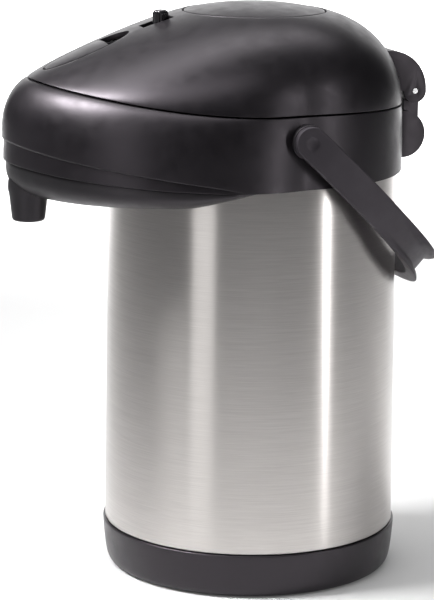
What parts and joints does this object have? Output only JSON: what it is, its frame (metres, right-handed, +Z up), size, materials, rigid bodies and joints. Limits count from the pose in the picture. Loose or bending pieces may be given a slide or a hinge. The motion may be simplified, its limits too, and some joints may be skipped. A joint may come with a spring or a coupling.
{
  "type": "thermal coffee airpot",
  "caption": "Insulated pump airpot with a brushed steel body, a charcoal beaked head with push button, lock, latch and rear-hinged lid, a downward spout and a swinging bail.",
  "frame": {"origin": "centre of the foot pad's underside, on the axis of the steel body", "axes": "+Z up along the body's axis, -Y towards the spout, +Y towards the lid hinge, X along the handle's pivots"},
  "size_m": [0.183, 0.2388, 0.3125],
  "materials": {
    "charcoal_plastic": "satin moulded, very dark charcoal",
    "dark_plastic": "satin moulded, near black",
    "handle_plastic": "matte moulded, dark charcoal",
    "brushed_steel": "brushed round the body",
    "plain_steel": "plain bright steel",
    "rubber": "matte elastomer",
    "milky_plastic": "translucent white food-grade plastic",
    "gloss_black": "glossy black"
  },
  "bodies": {
    "root": {"foot_pad": "rubber", "base_cover": "charcoal_plastic", "base_screws": "plain_steel", "flask_support": "dark_plastic", "outer_flask": "brushed_steel", "inner_flask": "plain_steel", "mouth_gasket": "rubber", "mouth_frame": "dark_plastic", "frame_screws": "plain_steel", "collar_shell": "charcoal_plastic", "beak_underside": "dark_plastic", "spout_nozzle": "dark_plastic", "spout_pipe": "milky_plastic", "pipe_seal": "rubber", "siphon_head": "dark_plastic", "dip_tube": "milky_plastic", "pivot_boss_right": "charcoal_plastic", "pivot_boss_left": "charcoal_plastic", "hinge_bracket": "charcoal_plastic", "hinge_pin": "plain_steel", "latch_striker": "dark_plastic"},
    "valve": {"valve_ball": "plain_steel"},
    "lid": {"lid_shell": "charcoal_plastic", "lid_base": "dark_plastic", "lid_gasket": "rubber", "lid_screws": "plain_steel", "hinge_cover": "charcoal_plastic", "button_guide": "dark_plastic", "bellows": "rubber", "bellows_clamp": "dark_plastic", "return_spring": "plain_steel", "air_valve": "rubber", "latch_pocket": "dark_plastic", "latch_pin": "plain_steel", "latch_spring": "plain_steel", "lock_guide": "dark_plastic"},
    "pump": {"push_button": "charcoal_plastic", "plunger": "dark_plastic"},
    "lock": {"lock_knob": "gloss_black", "lock_slider": "dark_plastic"},
    "latch": {"latch_plate": "charcoal_plastic", "latch_hook": "dark_plastic"},
    "handle": {"handle_bail": "handle_plastic"}
  },
  "joints": [
    {"name": "lid_hinge", "type": "hinge", "parent": "root", "child": "lid", "pos_m": [0, 0.091, 0.262], "axis": [-1, 0, 0], "range_deg": [0, 95]},
    {"name": "button_press", "type": "slide", "parent": "lid", "child": "pump", "axis": [0, 0, -1], "range_m": [0, 0.024], "stiffness_N_per_m": 400, "springref_m": -0.01, "deforming": ["bellows", "return_spring"]},
    {"name": "lock_slide", "type": "slide", "parent": "lid", "child": "lock", "axis": [0, -1, 0], "range_m": [0, 0.0065]},
    {"name": "latch_hinge", "type": "hinge", "parent": "lid", "child": "latch", "pos_m": [0, -0.113, 0.2765], "axis": [1, 0, 0], "range_deg": [0, 10], "stiffness_Nm_per_rad": 0.03, "springref_deg": -8.59},
    {"name": "handle_swing", "type": "hinge", "parent": "root", "child": "handle", "pos_m": [0, 0, 0.2483], "axis": [1, 0, 0], "range_deg": [0, 160]},
    {"name": "valve_lift", "type": "slide", "parent": "root", "child": "valve", "axis": [0, 0, 1], "range_m": [0, 0.0035]}
  ]
}
